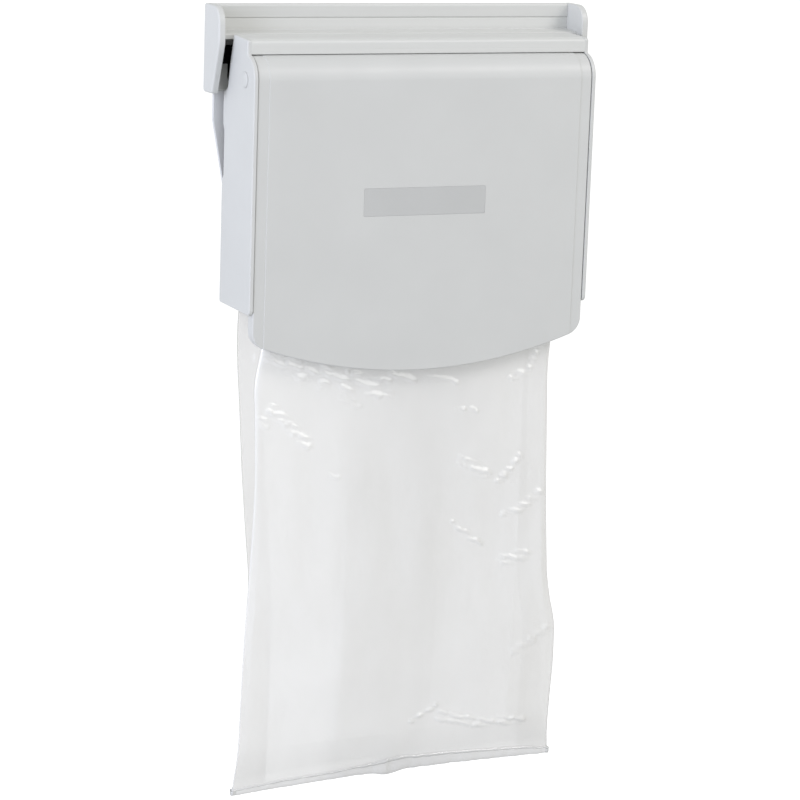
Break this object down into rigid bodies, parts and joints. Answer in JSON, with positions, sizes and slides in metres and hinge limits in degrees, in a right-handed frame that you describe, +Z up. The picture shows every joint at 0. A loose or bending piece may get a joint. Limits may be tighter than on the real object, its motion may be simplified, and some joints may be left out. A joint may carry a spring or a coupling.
{
  "type": "door-hung waste bag holder",
  "caption": "Waste bag holder that hangs on a door: a rail with end caps, a swinging box with a bow-bottomed flap lid, a wire hoop with a clamp bail, and a long plastic bag.",
  "frame": {"origin": "centre of the wall rail's flat back face, on the door or wall that holds it", "axes": "+X to the right along the rail as seen from the front, +Y into the door, +Z up"},
  "size_m": [0.284, 0.0684, 0.5637],
  "materials": {
    "light_grey_plastic": "satin, fine moulded texture",
    "extruded_plastic": "satin, fine lines along the extrusion",
    "grey_plastic": "satin",
    "label_grey": "matt",
    "black_plastic": "satin",
    "black_rubber": "matt",
    "zinc_steel": "bright zinc",
    "bag_film": "thin translucent polythene film"
  },
  "bodies": {
    "wall": {"wall_rail": "extruded_plastic", "left_end_cap": "light_grey_plastic", "right_end_cap": "light_grey_plastic", "left_rail_screw": "zinc_steel", "right_rail_screw": "zinc_steel", "back_plate": "grey_plastic", "upper_left_plate_screw": "zinc_steel", "upper_right_plate_screw": "zinc_steel", "lower_left_plate_screw": "zinc_steel", "lower_right_plate_screw": "zinc_steel", "left_bumper": "black_rubber", "right_bumper": "black_rubber", "hinge_rod": "zinc_steel", "left_hinge_bush": "black_rubber", "right_hinge_bush": "black_rubber"},
    "box": {"header_profile": "extruded_plastic", "left_cheek": "light_grey_plastic", "right_cheek": "light_grey_plastic", "left_hinge_arm": "black_plastic", "right_hinge_arm": "black_plastic", "left_upper_arm_screw": "zinc_steel", "left_lower_arm_screw": "zinc_steel", "right_upper_arm_screw": "zinc_steel", "right_lower_arm_screw": "zinc_steel", "rear_crossbar": "grey_plastic", "left_lid_pin": "light_grey_plastic", "right_lid_pin": "light_grey_plastic", "bag_hoop": "zinc_steel", "left_rear_hoop_clip": "grey_plastic", "left_front_hoop_clip": "grey_plastic", "right_rear_hoop_clip": "grey_plastic", "right_front_hoop_clip": "grey_plastic", "left_bail_bracket": "grey_plastic", "right_bail_bracket": "grey_plastic", "bag": "bag_film"},
    "lid": {"lid": "light_grey_plastic", "lid_badge": "label_grey"},
    "bail": {"clamp_bail": "zinc_steel"}
  },
  "joints": [
    {"name": "box_swing", "type": "hinge", "parent": "wall", "child": "box", "pos_m": [0, -0.0142, -0.0041], "axis": [-1, 0, 0], "range_deg": [0, 18]},
    {"name": "lid_hinge", "type": "hinge", "parent": "box", "child": "lid", "pos_m": [0, -0.0512, -0.0175], "axis": [-1, 0, 0], "range_deg": [0, 90]},
    {"name": "bail_hinge", "type": "hinge", "parent": "box", "child": "bail", "pos_m": [0, -0.025, -0.15], "axis": [-1, 0, 0], "range_deg": [0, 78]}
  ]
}
